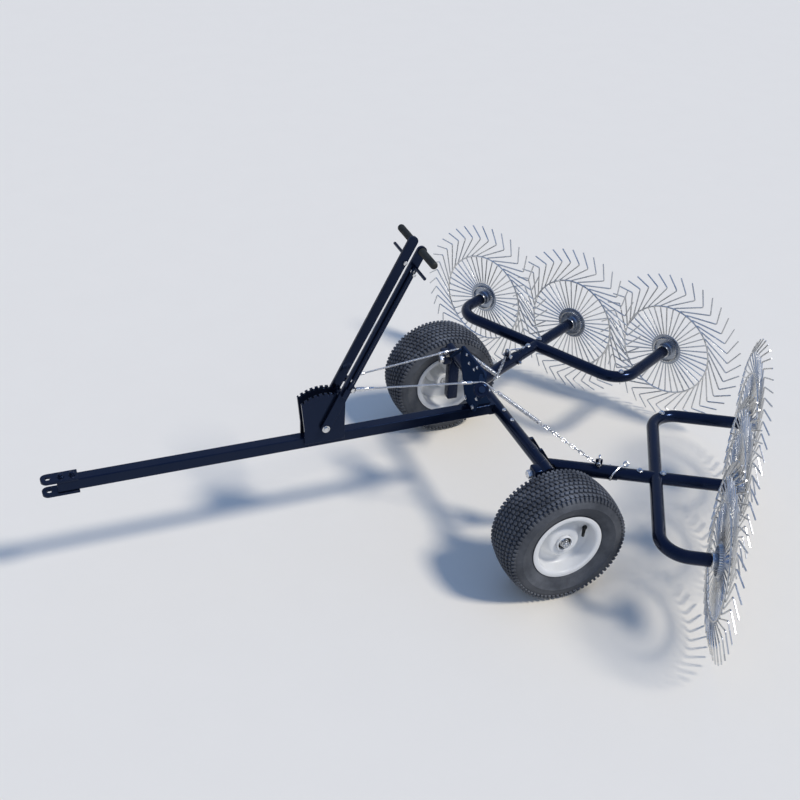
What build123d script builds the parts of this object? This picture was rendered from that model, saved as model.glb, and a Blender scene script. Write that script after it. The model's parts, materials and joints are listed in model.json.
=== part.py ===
from build123d import *
import math
import os

# Tow-behind acreage rake: a two-wheeled frame on a square drawbar, two hand levers, and on each
# side a hinged arm with a gang of three tined rake wheels. Millimetres, +X towards the hitch,
# +Y to the machine's left, +Z up, ground at Z = 0.

# road wheels
tyre_radius = 203.0
tyre_width = 165.0
tread_width = 140.0
tread_crown = 6.0
sidewall_bulge = 4.0
sidewall_shoulder = 38.0
bead_radius = 101.0
rim_flange_radius = 116.0
rim_width = 136.0
rim_wall = 3.5
rim_disc_offset = 12.0
rim_bowl_radius = 62.0
rim_bowl_depth = 26.0
rim_bowl_flare = 2.0
track = 980.0
wheel_hub_radius = 27.0
wheel_hub_flange_radius = 46.0
wheel_hub_flange = 6.0
wheel_hub_inner = 42.0
wheel_hub_outer = 50.0
axle_radius = 12.5
axle_washer_radius = 21.0
axle_washer = 3.0
axle_nut_flats = 34.0
axle_nut = 14.0

# crossbeam, legs and drawbar
beam_radius = 21.0
beam_height = 375.0
beam_setback = 5.0
leg_size = 38.0
leg_to_tyre = 9.5
leg_below_axle = 26.0
leg_above_beam = 27.0
square_corner = 4.0
drawbar_size = 38.0
drawbar_wall = 3.0
drawbar_reach = 1438.0
drawbar_open_depth = 18.0

# hitch clevis
clevis_plate = 8.0
clevis_width = 46.0
clevis_overlap = 62.0
clevis_reach = 46.0
clevis_corner = 19.0
hitch_bore_radius = 8.5
hitch_bore_from_tip = 21.0

# lift quadrant and hand levers
quadrant_plate = 8.0
quadrant_radius = 122.0
tooth_depth = 7.0
tooth_count = 9
quadrant_front_angle = 52.0
quadrant_rear_angle = 124.0
quadrant_foot = 66.0
lever_pivot_reach = 614.0
lever_pivot_rise = 37.0
lever_pin_radius = 9.0
lever_pin_head = 16.0
lever_pin_head_length = 7.0
lever_gap = 4.0
lever_bar = 9.0
lever_width = 32.0
lever_length = 646.0
lever_lean = 27.3
grip_radius = 12.0
grip_round = 5.0
grip_length = 102.0
trigger_radius = 5.0
trigger_length = 86.0
trigger_below_grip = 50.0
release_rod_radius = 4.0
latch_length = 30.0
latch_width = 18.0
latch_clearance = 2.0
cable_lug_reach = 154.0
cable_lug_stand = 18.0
cable_lug_radius = 11.0
cable_eye_gap = 1.0
rod_stand_off = 1.0

# lift mast and pulleys
mast_reach = 100.0
mast_plate = 8.0
mast_rise = 181.0
mast_head_depth = 52.0
mast_head_width = 192.0
mast_foot_width = 74.0
mast_corner = 14.0
mast_rib = 8.0
mast_rib_height = 118.0
pulley_run_radius = 25.0
pulley_lip = 3.0
pulley_width = 14.0
pulley_groove_gap = 0.5
pulley_pin_radius = 6.0
pulley_cap_radius = 11.0
pulley_cap = 4.0
pulley_lug = 6.0
pulley_lug_width = 24.0
pulley_lug_drop = 38.0
cable_corner_ahead = 13.0
cable_corner_side = 107.0
cable_corner_drop = 22.0

# side arms
arm_angle = 29.0
tine_ground_gap = 3.0
arm_pivot_behind = 50.0
arm_pivot_inboard = 98.0
arm_pivot_radius = 10.0
arm_eye_radius = 24.0
arm_eye_width = 56.0
arm_pin_head_radius = 16.0
arm_pin_head = 7.0
ear_plate = 8.0
ear_radius = 23.0
ear_seat_depth = 26.0
ear_seat_height = 34.0
ear_gap = 1.0
ear_swing_gap = 5.0
sleeve_radius = 23.5
sleeve_wall = 3.0
sleeve_end = 240.0
sleeve_bore_spare = 6.0
slide_gap = 0.08
wall_lap = 1.0
lock_pin_radius = 5.0
lock_pin_reach = 216.0
lock_boss_radius = 9.0
lock_boss_height = 5.0
lock_pin_stand = 9.0
chain_lug_reach = 176.0
chain_lug_height = 22.0
chain_lug_plate = 8.0
chain_lug_width = 22.0
chain_hole_radius = 5.5

# gang frames
hub_reach = 582.0
hub_spacing = 377.0
hub_stagger = 76.0
gang_tube_radius = 21.0
gang_bar_setback = 221.0
gang_bend_radius = 88.0
arm_insert = 150.0
spindle_radius = 10.0
spindle_nut_radius = 15.0
spindle_nut = 10.0

# rake wheels
rake_hub_radius = 24.0
rake_hub_length = 50.0
rake_hub_gap = 3.0
rake_disc_radius = 60.0
rake_disc = 6.0
rake_disc_setback = 22.0
tine_count = 40
tine_size = 5.5
tine_root_depth = 8.0
tine_bend_radius = 250.0
tine_bend_sweep = 27.0
tine_tip_radius = 297.0
tine_tip_sweep = 18.0
tine_tip_setback = 16.0
ring_radius = 176.0
ring_size = 6.0
ring_lap = 0.5

# lift cables, springs and chains
cable_radius = 3.0
ferrule_radius = 6.5
ferrule_length = 26.0
spring_radius = 11.0
spring_length = 200.0
chain_radius = 5.0
cable_tail = 42.0
slack_spring_back = 158.0
slack_spring_side = 28.0
slack_spring_drop = 138.0
slack_chain_sag = [(0.13, 34.0), (0.40, 34.0), (0.74, 21.0)]
slack_chain_bend = 22.0
running_gap = 0.06
seat_gap = 0.3

# places worked out from the sizes above
drawbar_top = beam_height + drawbar_size / 2
drawbar_base = beam_height - drawbar_size / 2
leg_outer = track / 2 - tyre_width / 2 - leg_to_tyre
leg_inner = leg_outer - leg_size
clevis_tip = drawbar_reach + clevis_reach
lever_pivot_height = drawbar_top + lever_pivot_rise
mast_height = drawbar_top + mast_rise
hitch_bore_reach = clevis_tip - hitch_bore_from_tip
lever_side = drawbar_size / 2 + quadrant_plate + lever_gap + lever_bar / 2
arm_lean = math.radians(arm_angle)
arm_height = tine_tip_radius + tine_ground_gap
arm_pivot = Vector(-arm_pivot_behind, leg_inner - arm_pivot_inboard, arm_height)
arm_plane = Plane(
    origin=arm_pivot,
    x_dir=(-math.cos(arm_lean), math.sin(arm_lean), 0),
    z_dir=(0, 0, 1),
)
arm_plane_right = Plane(
    origin=(arm_pivot.X, -arm_pivot.Y, arm_pivot.Z),
    x_dir=(arm_plane.x_dir.X, -arm_plane.x_dir.Y, 0),
    z_dir=(0, 0, -1),
)
sleeve_bore = sleeve_radius - sleeve_wall
arm_inner_radius = sleeve_bore - slide_gap
tine_root_radius = rake_disc_radius - tine_root_depth
tine_plane = rake_disc_setback + rake_disc / 2
lever_along = Vector(-math.sin(math.radians(lever_lean)), 0, math.cos(math.radians(lever_lean)))
lever_behind = Vector(-lever_along.Z, 0, lever_along.X)
lever_pivot = Vector(lever_pivot_reach, lever_side, lever_pivot_height)
cable_lug = lever_pivot + lever_along * cable_lug_reach + lever_behind * cable_lug_stand
cable_corner = Vector(
    mast_reach + cable_corner_ahead, cable_corner_side, mast_height - cable_corner_drop
)
slack_spring_end = cable_corner + Vector(-slack_spring_back, slack_spring_side, -slack_spring_drop)
chain_lug_top = sleeve_radius + chain_lug_height
chain_hole_height = chain_lug_top - chain_lug_width / 2
chain_end = arm_plane.from_local_coords(
    Vector(chain_lug_reach - chain_lug_width / 2 - chain_radius - seat_gap, 0, chain_hole_height)
)

pieces = {}


def revolved(profile, axis):
    """Full turn of a closed outline, given as points in the plane of the axis."""
    return revolve(make_face(Polyline(*profile, close=True)), axis, 360)


def rod(start, end, radius):
    """Straight round bar between two points."""
    line = Line(start, end)
    return sweep(Plane(origin=start, z_dir=line % 0) * Circle(radius), line)


def tube(path, radius):
    """Round tube along a path."""
    return sweep(Plane(origin=path @ 0, z_dir=path % 0) * Circle(radius), path)


def plate(outline, plane, thickness):
    """Flat plate centred on a plane, cut from a closed sketch."""
    return extrude(plane * outline, thickness / 2, both=True)


def both_sides(name, shape):
    """Left piece as modelled, right piece as its mirror image."""
    pieces[name + "_left"] = shape
    pieces[name + "_right"] = mirror(shape, about=Plane.XZ)


def road_wheel():
    """Tyre, rim and hub about a Y axis through the wheel's middle, outer side at +Y."""
    half = tyre_width / 2
    tread = tread_width / 2
    shoulder = tyre_radius - tread_crown
    bead = rim_width / 2 - rim_wall - seat_gap
    seat = bead_radius + seat_gap
    tyre = revolved(
        [
            (seat, -bead, 0),
            (rim_flange_radius + seat_gap, -bead, 0),
            (shoulder - 2 * sidewall_shoulder, sidewall_bulge - half, 0),
            (shoulder - sidewall_shoulder, -half, 0),
            (shoulder, -tread, 0),
            (tyre_radius, -tread / 2, 0),
            (tyre_radius, tread / 2, 0),
            (shoulder, tread, 0),
            (shoulder - sidewall_shoulder, half, 0),
            (shoulder - 2 * sidewall_shoulder, half - sidewall_bulge, 0),
            (rim_flange_radius + seat_gap, bead, 0),
            (seat, bead, 0),
        ],
        Axis.Y,
    )
    edge = rim_width / 2
    barrel = bead_radius - rim_wall
    disc = rim_disc_offset
    bowl = disc + rim_bowl_depth
    hub_hole = wheel_hub_radius + seat_gap
    rim = revolved(
        [
            (bead_radius, -edge + rim_wall, 0),
            (rim_flange_radius, -edge + rim_wall, 0),
            (rim_flange_radius, -edge, 0),
            (barrel, -edge, 0),
            (barrel, disc, 0),
            (rim_bowl_radius, bowl, 0),
            (hub_hole, bowl, 0),
            (hub_hole, bowl + rim_wall, 0),
            (rim_bowl_radius + rim_bowl_flare, bowl + rim_wall, 0),
            (barrel, disc + rim_wall, 0),
            (barrel, edge, 0),
            (rim_flange_radius, edge, 0),
            (rim_flange_radius, edge - rim_wall, 0),
            (bead_radius, edge - rim_wall, 0),
        ],
        Axis.Y,
    )
    bore = axle_radius + running_gap
    flange = bowl - seat_gap
    hub = revolved(
        [
            (bore, -wheel_hub_inner, 0),
            (wheel_hub_radius, -wheel_hub_inner, 0),
            (wheel_hub_radius, flange - wheel_hub_flange, 0),
            (wheel_hub_flange_radius, flange - wheel_hub_flange, 0),
            (wheel_hub_flange_radius, flange, 0),
            (wheel_hub_radius, flange, 0),
            (wheel_hub_radius, wheel_hub_outer, 0),
            (bore, wheel_hub_outer, 0),
        ],
        Axis.Y,
    )
    return tyre, rim, hub


def frame_pieces():
    """Crossbeam, legs with stub axles, drawbar and hitch clevis."""
    beam_x = beam_setback
    ends = [(beam_x, side * leg_inner, beam_height) for side in (-1, 1)]
    pieces["crossbeam"] = rod(ends[0], ends[1], beam_radius)

    leg_top = beam_height + leg_above_beam
    leg_base = tyre_radius - leg_below_axle
    leg_middle = (leg_top + leg_base) / 2
    leg_y = (leg_inner + leg_outer) / 2
    leg = Pos(0, leg_y, leg_middle) * Box(leg_size, leg_size, leg_top - leg_base)
    both_sides("axle_leg", fillet(leg.edges().filter_by(Axis.Z), square_corner))

    nut_face = track / 2 + wheel_hub_outer + seat_gap
    washer_end = nut_face + axle_washer
    axle = rod((0, leg_outer, tyre_radius), (0, washer_end, tyre_radius), axle_radius)
    axle += rod((0, nut_face, tyre_radius), (0, washer_end, tyre_radius), axle_washer_radius)
    nut = Plane(origin=(0, washer_end, tyre_radius), z_dir=(0, 1, 0))
    axle += extrude(nut * RegularPolygon(axle_nut_flats / 2, 6, major_radius=False), axle_nut)
    both_sides("stub_axle", axle)

    back = beam_x + beam_radius
    length = drawbar_reach - back
    middle = (back + drawbar_reach) / 2
    bar = Pos(middle, 0, beam_height) * Box(length, drawbar_size, drawbar_size)
    bar = fillet(bar.edges().filter_by(Axis.X), square_corner)
    inside = drawbar_size - 2 * drawbar_wall
    mouth = drawbar_reach - drawbar_open_depth / 2
    bar -= Pos(mouth, 0, beam_height) * Box(drawbar_open_depth, inside, inside)
    saddle = Pos(back, 0, beam_height) * Box(2 * beam_radius, drawbar_size, drawbar_size)
    saddle -= rod((beam_x, -drawbar_size, beam_height), (beam_x, drawbar_size, beam_height),
                  beam_radius)
    saddle &= Pos(back, 0, beam_height) * Box(beam_radius, drawbar_size, drawbar_size)
    pieces["drawbar"] = bar + saddle

    tail = drawbar_reach - clevis_overlap
    outline = Pos((tail + clevis_tip) / 2, 0) * Rectangle(clevis_tip - tail, clevis_width)
    outline = fillet(outline.vertices().group_by(Axis.X)[-1], clevis_corner)
    outline -= Pos(hitch_bore_reach, 0) * Circle(hitch_bore_radius)
    upper = extrude(Plane.XY.offset(drawbar_top) * outline, clevis_plate)
    lower = extrude(Plane.XY.offset(drawbar_base) * outline, -clevis_plate)
    pieces["hitch_clevis"] = Compound([upper, lower])


def quadrant_pieces():
    """Two toothed plates that straddle the drawbar, with the levers' pivot pin."""
    pivot = (lever_pivot_reach, lever_pivot_height)
    foot = drawbar_base - lever_pivot_height + drawbar_size / 2
    front = math.radians(quadrant_front_angle)
    rear = math.radians(quadrant_rear_angle)
    rim_front = (quadrant_radius * math.cos(front), quadrant_radius * math.sin(front))
    rim_rear = (quadrant_radius * math.cos(rear), quadrant_radius * math.sin(rear))
    arc = RadiusArc(rim_front, rim_rear, -quadrant_radius)
    outline = make_face(
        Curve() + [
            arc,
            Polyline(rim_rear, (-quadrant_foot, 0), (-quadrant_foot, foot),
                     (quadrant_foot, foot), (quadrant_foot, 0), rim_front),
        ]
    )
    step = (rear - front) / tooth_count
    for index in range(tooth_count):
        angle = math.degrees(front + (index + 0.5) * step)
        notch = Pos(quadrant_radius, 0) * Rectangle(2 * tooth_depth, tooth_depth)
        outline -= Rot(0, 0, angle) * notch
    outline -= Circle(lever_pin_radius + seat_gap)
    side = drawbar_size / 2 + quadrant_plate / 2
    sides = []
    for y in (-side, side):
        face = Plane(origin=(pivot[0], y, pivot[1]), x_dir=(1, 0, 0), z_dir=(0, -1, 0))
        sides.append(plate(outline, face, quadrant_plate))
    pieces["lever_quadrant"] = Compound(sides)

    reach = lever_side + lever_bar / 2 + seat_gap
    pin = rod((pivot[0], -reach, pivot[1]), (pivot[0], reach, pivot[1]), lever_pin_radius)
    for y in (-1, 1):
        pin += rod((pivot[0], y * reach, pivot[1]),
                   (pivot[0], y * (reach + lever_pin_head_length), pivot[1]), lever_pin_head)
    pieces["lever_pivot_pin"] = pin


def lever_pieces():
    """Left hand lever in its plane, leaning back, with grip, release trigger and latch."""
    along = lever_along
    pivot = lever_pivot
    face = Plane(origin=pivot, x_dir=along, z_dir=(0, 1, 0))
    bar = SlotCenterPoint((lever_length / 2, 0), (lever_length, 0), lever_width)
    bar -= Circle(lever_pin_radius + running_gap)
    lug_side = -cable_lug_stand
    lug = Pos(cable_lug_reach, lug_side) * Circle(cable_lug_radius)
    lug += Pos(cable_lug_reach, lug_side / 2) * Rectangle(2 * cable_lug_radius, cable_lug_stand)
    lug -= Pos(cable_lug_reach, lug_side) * Circle(cable_radius + cable_eye_gap)
    both_sides("lever", plate(bar + lug, face, lever_bar))

    outer = lever_side + lever_bar / 2
    top = pivot + along * lever_length
    grip_start = Vector(top.X, outer, top.Z)
    grip = rod(grip_start, grip_start + Vector(0, grip_length, 0), grip_radius)
    both_sides("lever_grip", fillet(grip.faces().sort_by(Axis.Y)[-1].edges(), grip_round))

    rod_side = outer + release_rod_radius + rod_stand_off
    trigger_at = pivot + along * (lever_length - trigger_below_grip)
    latch_at = pivot + along * (quadrant_radius + latch_clearance)
    start = Vector(trigger_at.X, outer, trigger_at.Z)
    trigger = rod(start, start + Vector(0, trigger_length, 0), trigger_radius)
    rod_start = Vector(latch_at.X, rod_side, latch_at.Z) + along * (latch_length / 2)
    rod_end = Vector(trigger_at.X, rod_side, trigger_at.Z)
    trigger += rod(rod_start, rod_end, release_rod_radius)
    latch_face = Plane(origin=Vector(latch_at.X, 0, latch_at.Z), x_dir=along, z_dir=(0, 1, 0))
    block = Pos(latch_length / 2, 0) * Rectangle(latch_length, latch_width)
    guard = rod_side + release_rod_radius + rod_stand_off
    trigger += extrude(latch_face.offset(outer) * block, guard - outer)
    both_sides("release_rod", trigger)


def mast_pieces():
    """Flared lift plate on the drawbar and a tilted pulley at each end of its head."""
    head = mast_head_width / 2
    foot = mast_foot_width / 2
    shoulder = mast_height - mast_head_depth
    outline = make_face(
        Polyline(
            (-foot, drawbar_top), (foot, drawbar_top), (head, shoulder),
            (head, mast_height), (-head, mast_height), (-head, shoulder),
            close=True,
        )
    )
    outline = fillet(outline.vertices().sort_by(Axis.Y)[2:], mast_corner)
    face = Plane(origin=(mast_reach, 0, 0), x_dir=(0, 1, 0), z_dir=(1, 0, 0))
    mast = plate(outline, face, mast_plate)
    rib_back = beam_setback + beam_radius
    rib = make_face(
        Polyline((mast_reach, drawbar_top), (mast_reach, drawbar_top + mast_rib_height),
                 (rib_back, drawbar_top), close=True)
    )
    mast += plate(rib, Plane.XZ, mast_rib)

    arriving = (cable_corner - cable_lug).normalized()
    leaving = (chain_end - cable_corner).normalized()
    spin = leaving.cross(arriving).normalized()
    turn = math.radians(arriving.get_angle(leaving))
    inward = (leaving - arriving).normalized()
    centre = cable_corner + inward * (pulley_run_radius / math.cos(turn / 2))
    half = pulley_width / 2
    groove = cable_radius + pulley_groove_gap
    floor = pulley_run_radius - cable_radius - seat_gap
    lip = pulley_run_radius + pulley_lip
    sheave = revolved(
        [
            (pulley_pin_radius + running_gap, 0, -half),
            (lip, 0, -half),
            (lip, 0, -groove),
            (floor, 0, -groove),
            (floor, 0, groove),
            (lip, 0, groove),
            (lip, 0, half),
            (pulley_pin_radius + running_gap, 0, half),
        ],
        Axis.Z,
    )
    sheave_plane = Plane(origin=centre, x_dir=(1, 0, 0), z_dir=spin)
    both_sides("pulley", sheave_plane * sheave)

    mast_face = mast_reach + mast_plate / 2
    lug_face = sheave_plane.offset(-half - seat_gap)
    back = mast_face - lug_face.origin.X
    lug_width = pulley_lug_width
    seat = Pos(back + lug_width / 4, -pulley_lug_drop) * Rectangle(lug_width / 2, lug_width)
    lug = make_hull(Circle(lug_width / 2).edges() + seat.edges())
    bracket = extrude(lug_face * lug, -pulley_lug)
    bracket += extrude(lug_face * Circle(pulley_pin_radius), pulley_width + 2 * seat_gap)
    cap = sheave_plane.offset(half + seat_gap)
    bracket += extrude(cap * Circle(pulley_cap_radius), pulley_cap)
    pieces["lift_mast"] = mast + bracket + mirror(bracket, about=Plane.XZ)


def arm_pieces():
    """Ears on the crossbeam, pivot pin and the hinged sleeve arm, left side."""
    eye_half = arm_eye_width / 2
    outer_face = eye_half + ear_gap
    x, y, z = arm_pivot.X, arm_pivot.Y, arm_pivot.Z
    seat_middle = beam_setback - ear_seat_depth / 2
    ears = []
    for near in (y - outer_face - ear_plate, y + outer_face):
        face = Plane(origin=(0, near, 0), x_dir=(1, 0, 0), z_dir=(0, -1, 0))
        seat = Pos(seat_middle, beam_height) * Rectangle(ear_seat_depth, ear_seat_height)
        ear = make_hull(seat.edges() + (Pos(x, z) * Circle(ear_radius)).edges())
        ear -= Pos(beam_setback, beam_height) * Circle(beam_radius + seat_gap)
        ear -= Pos(x, z) * Circle(arm_pivot_radius + seat_gap)
        ears.append(extrude(face * ear, -ear_plate))
    both_sides("arm_ears", Compound(ears))

    reach = outer_face + ear_plate + seat_gap
    pin = rod((x, y - reach, z), (x, y + reach, z), arm_pivot_radius)
    for way in (-1, 1):
        pin += rod((x, y + way * reach, z), (x, y + way * (reach + arm_pin_head), z),
                   arm_pin_head_radius)
    both_sides("arm_pivot_pin", pin)

    eye = rod((x, y - eye_half, z), (x, y + eye_half, z), arm_eye_radius)
    sleeve = eye + arm_plane * rod((0, 0, 0), (sleeve_end, 0, 0), sleeve_radius)
    bore_start = sleeve_end - arm_insert - sleeve_bore_spare
    sleeve -= arm_plane * rod((bore_start, 0, 0), (sleeve_end, 0, 0), sleeve_bore)
    sleeve -= rod((x, y - 2 * eye_half, z), (x, y + 2 * eye_half, z),
                  arm_pivot_radius + running_gap)
    for way in (-1, 1):
        sleeve -= rod((x, y + way * eye_half, z), (x, y + way * (reach + 2 * arm_pin_head), z),
                      ear_radius + ear_swing_gap)
    lug_base = sleeve_bore + wall_lap
    lug_face = Plane(origin=arm_plane.origin, x_dir=arm_plane.x_dir,
                     z_dir=-(arm_plane.z_dir.cross(arm_plane.x_dir)))
    lug = Pos(chain_lug_reach, (lug_base + chain_lug_top) / 2)
    lug = lug * Rectangle(chain_lug_width, chain_lug_top - lug_base)
    lug -= Pos(chain_lug_reach, chain_hole_height) * Circle(chain_hole_radius)
    sleeve += plate(lug, lug_face, chain_lug_plate)
    boss_end = sleeve_radius + lock_boss_height
    stubs = []
    for way in (-1, 1):
        base = (lock_pin_reach, way * lug_base, 0)
        end = (lock_pin_reach, way * boss_end, 0)
        sleeve += arm_plane * rod(base, end, lock_boss_radius)
        seat = (lock_pin_reach, way * (sleeve_bore + seat_gap), 0)
        tip = (lock_pin_reach, way * (boss_end + lock_pin_stand), 0)
        sleeve -= arm_plane * rod((lock_pin_reach, 0, 0), tip, lock_pin_radius + running_gap)
        stubs.append(arm_plane * rod(seat, tip, lock_pin_radius))
    both_sides("lock_pin", Compound(stubs))
    both_sides("arm_sleeve", sleeve)


def gang_pieces():
    """Bent gang tube with its stub arms and spindles, left side."""
    bar_x = hub_reach - gang_bar_setback
    outer = Vector(hub_reach - hub_stagger, -hub_spacing, 0)
    inner = Vector(hub_reach + hub_stagger, hub_spacing, 0)
    path = FilletPolyline(
        (outer.X, outer.Y, 0), (bar_x, outer.Y, 0), (bar_x, inner.Y, 0), (inner.X, inner.Y, 0),
        radius=gang_bend_radius,
    )
    insert_start = sleeve_end - arm_insert
    frame = tube(path, gang_tube_radius)
    frame += rod((insert_start, 0, 0), (hub_reach, 0, 0), arm_inner_radius)
    for x, y in ((outer.X, outer.Y), (hub_reach, 0), (inner.X, inner.Y)):
        nut = x + rake_hub_gap + rake_hub_length + seat_gap
        frame += rod((x, y, 0), (nut + spindle_nut, y, 0), spindle_radius)
        frame += rod((nut, y, 0), (nut + spindle_nut, y, 0), spindle_nut_radius)
    pieces["gang_frame_left"] = arm_plane * frame
    pieces["gang_frame_right"] = arm_plane_right * frame
    return outer, Vector(hub_reach, 0, 0), inner


def rake_wheel():
    """Hub, tine disc, bent tines and ring about a local X axis, hub face at X = 0."""
    bore = spindle_radius + running_gap
    disc_end = rake_disc_setback + rake_disc
    wheel = revolved(
        [
            (0, bore, 0),
            (0, rake_hub_radius, 0),
            (rake_disc_setback, rake_hub_radius, 0),
            (rake_disc_setback, rake_disc_radius, 0),
            (disc_end, rake_disc_radius, 0),
            (disc_end, rake_hub_radius, 0),
            (rake_hub_length, rake_hub_radius, 0),
            (rake_hub_length, bore, 0),
        ],
        Axis.X,
    )
    bend = math.radians(tine_bend_sweep)
    tip = math.radians(tine_tip_sweep)
    path = Polyline(
        (tine_plane, tine_root_radius, 0),
        (tine_plane, ring_radius, 0),
        (tine_plane, tine_bend_radius * math.cos(bend), -tine_bend_radius * math.sin(bend)),
        (tine_plane + tine_tip_setback, tine_tip_radius * math.cos(tip),
         -tine_tip_radius * math.sin(tip)),
    )
    section = Plane(origin=path @ 0, x_dir=(1, 0, 0), z_dir=path % 0)
    tine = sweep(section * Rectangle(tine_size, tine_size), path, transition=Transition.RIGHT)
    turns = [Rot(360 * index / tine_count, 0, 0) * tine for index in range(tine_count)]
    ring_middle = tine_plane - (tine_size + ring_size) / 2 + ring_lap
    half = ring_size / 2
    ring = revolved(
        [
            (ring_middle - half, ring_radius - half, 0),
            (ring_middle - half, ring_radius + half, 0),
            (ring_middle + half, ring_radius + half, 0),
            (ring_middle + half, ring_radius - half, 0),
        ],
        Axis.X,
    )
    return wheel + turns + ring


def seat_step(run, face, radius):
    """Least step along a run that keeps a flat end of that radius off a face."""
    return seat_gap + radius * math.sin(math.radians(run.get_angle(face)))


def lug_end(run):
    """Where a chain run along that direction stops short of the arm's lug."""
    ahead = run.dot(arm_plane.x_dir)
    across = math.sqrt(1 - ahead ** 2)
    return chain_end + run * (chain_radius * (1 - across) / ahead)


def cable_pieces():
    """Lift cables, tension springs and chains from the levers to the arms."""
    toward = (cable_corner - cable_lug).normalized()
    leaving = (chain_end - cable_corner).normalized()
    start = cable_lug + toward * (cable_lug_radius + 3 * seat_gap)
    end = cable_corner + leaving * cable_tail
    line = FilletPolyline(start, cable_corner, end, radius=pulley_run_radius)
    cable = tube(line, cable_radius)
    cable += rod(start, start + toward * ferrule_length, ferrule_radius)
    both_sides("lift_cable", cable)

    spring_start = end + leaving * seat_gap
    spring_end = spring_start + leaving * spring_length
    pieces["lift_spring_left"] = rod(spring_start, spring_end, spring_radius)
    pieces["lift_chain_left"] = rod(spring_end + leaving * seat_gap, lug_end(leaving),
                                    chain_radius)

    drop = (slack_spring_end - end).normalized()
    slack_start = end + drop * seat_step(leaving, drop, cable_radius)
    slack_end = slack_start + drop * spring_length
    pieces["lift_spring_right"] = mirror(rod(slack_start, slack_end, spring_radius),
                                         about=Plane.XZ)
    hang_run = chain_end - slack_spring_end
    sag = [
        slack_spring_end + hang_run * share - Vector(0, 0, drop_by)
        for share, drop_by in slack_chain_sag
    ]
    first = (sag[0] - slack_end).normalized()
    hang_start = slack_end + drop * seat_step(first, drop, chain_radius)
    hang_end = lug_end((chain_end - sag[-1]).normalized())
    hang = FilletPolyline(hang_start, *sag, hang_end, radius=slack_chain_bend)
    pieces["lift_chain_right"] = mirror(tube(hang, chain_radius), about=Plane.XZ)


def build():
    """Every piece in its place, then moved so that the footprint's middle is the origin."""
    tyre, rim, hub = road_wheel()
    wheel_place = Pos(0, track / 2, tyre_radius)
    both_sides("tyre", wheel_place * tyre)
    both_sides("rim", wheel_place * rim)
    both_sides("wheel_hub", wheel_place * hub)
    frame_pieces()
    quadrant_pieces()
    lever_pieces()
    mast_pieces()
    arm_pieces()
    outer, middle, inner = gang_pieces()
    wheel = rake_wheel()
    for place, at in (("outer", outer), ("middle", middle), ("inner", inner)):
        seat = arm_plane * Pos(at.X + rake_hub_gap, at.Y, 0)
        both_sides("rake_wheel_" + place, seat * wheel)
    cable_pieces()

    boxes = [shape.bounding_box() for shape in pieces.values()]
    front = max(box.max.X for box in boxes)
    rear = min(box.min.X for box in boxes)
    shift = Pos(-(front + rear) / 2, 0, 0)
    os.makedirs("parts", exist_ok=True)
    for name, shape in pieces.items():
        export_step(shift * shape, "parts/" + name + ".step")
    print("axle x", round(-(front + rear) / 2, 3), "pieces", len(pieces))


build()
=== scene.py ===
import json
import math

import bmesh
import bpy
from mathutils import Matrix, Vector


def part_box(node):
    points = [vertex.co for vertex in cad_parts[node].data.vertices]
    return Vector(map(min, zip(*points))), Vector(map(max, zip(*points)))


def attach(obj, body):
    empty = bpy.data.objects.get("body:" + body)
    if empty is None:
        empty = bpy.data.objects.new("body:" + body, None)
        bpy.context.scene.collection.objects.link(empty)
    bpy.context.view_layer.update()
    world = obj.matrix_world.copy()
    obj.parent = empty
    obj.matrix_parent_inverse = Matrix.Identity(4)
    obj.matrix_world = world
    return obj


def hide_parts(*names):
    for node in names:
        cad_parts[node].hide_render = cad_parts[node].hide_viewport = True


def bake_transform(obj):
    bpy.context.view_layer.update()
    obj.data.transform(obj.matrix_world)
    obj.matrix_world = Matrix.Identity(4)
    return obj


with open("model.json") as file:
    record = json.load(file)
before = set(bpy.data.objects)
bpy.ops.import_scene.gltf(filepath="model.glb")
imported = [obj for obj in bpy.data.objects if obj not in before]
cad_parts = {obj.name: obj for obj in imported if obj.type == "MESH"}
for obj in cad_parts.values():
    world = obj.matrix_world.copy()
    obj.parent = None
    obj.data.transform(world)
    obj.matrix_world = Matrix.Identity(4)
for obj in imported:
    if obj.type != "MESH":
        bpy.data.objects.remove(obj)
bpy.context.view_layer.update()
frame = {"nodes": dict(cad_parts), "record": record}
jointOf = {joint["name"]: joint for joint in frame["record"]["behaviour"]["joints"]}
sides = (("left", 1), ("right", -1))


def centreOf(node):
    low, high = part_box(node)
    return (low + high) / 2


# shared shader groups
def newGroup(name, inputs, outputs):
    group = bpy.data.node_groups.new(name, "ShaderNodeTree")
    for label, value in inputs:
        socket = group.interface.new_socket(label, in_out="INPUT", socket_type="NodeSocketFloat")
        socket.default_value = value
    for label, kind in outputs:
        group.interface.new_socket(label, in_out="OUTPUT", socket_type=kind)
    return group, group.nodes.new("NodeGroupInput"), group.nodes.new("NodeGroupOutput")


def addNode(tree, kind, **settings):
    node = tree.nodes.new(kind)
    for key, value in settings.items():
        setattr(node, key, value)
    return node


def mathNode(tree, operation, first, second=None, clamp=False):
    node = addNode(tree, "ShaderNodeMath", operation=operation, use_clamp=clamp)
    for socket, value in zip(node.inputs, (first, second)):
        if isinstance(value, (int, float)):
            socket.default_value = value
        elif value is not None:
            tree.links.new(value, socket)
    return node.outputs[0]


def noiseNode(tree, scale, detail, coordinates, roughness=0.55):
    node = addNode(tree, "ShaderNodeTexNoise")
    node.inputs["Detail"].default_value = detail
    node.inputs["Roughness"].default_value = roughness
    tree.links.new(coordinates, node.inputs["Vector"])
    if isinstance(scale, (int, float)):
        node.inputs["Scale"].default_value = scale
    else:
        tree.links.new(scale, node.inputs["Scale"])
    return node.outputs["Fac"]


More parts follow.
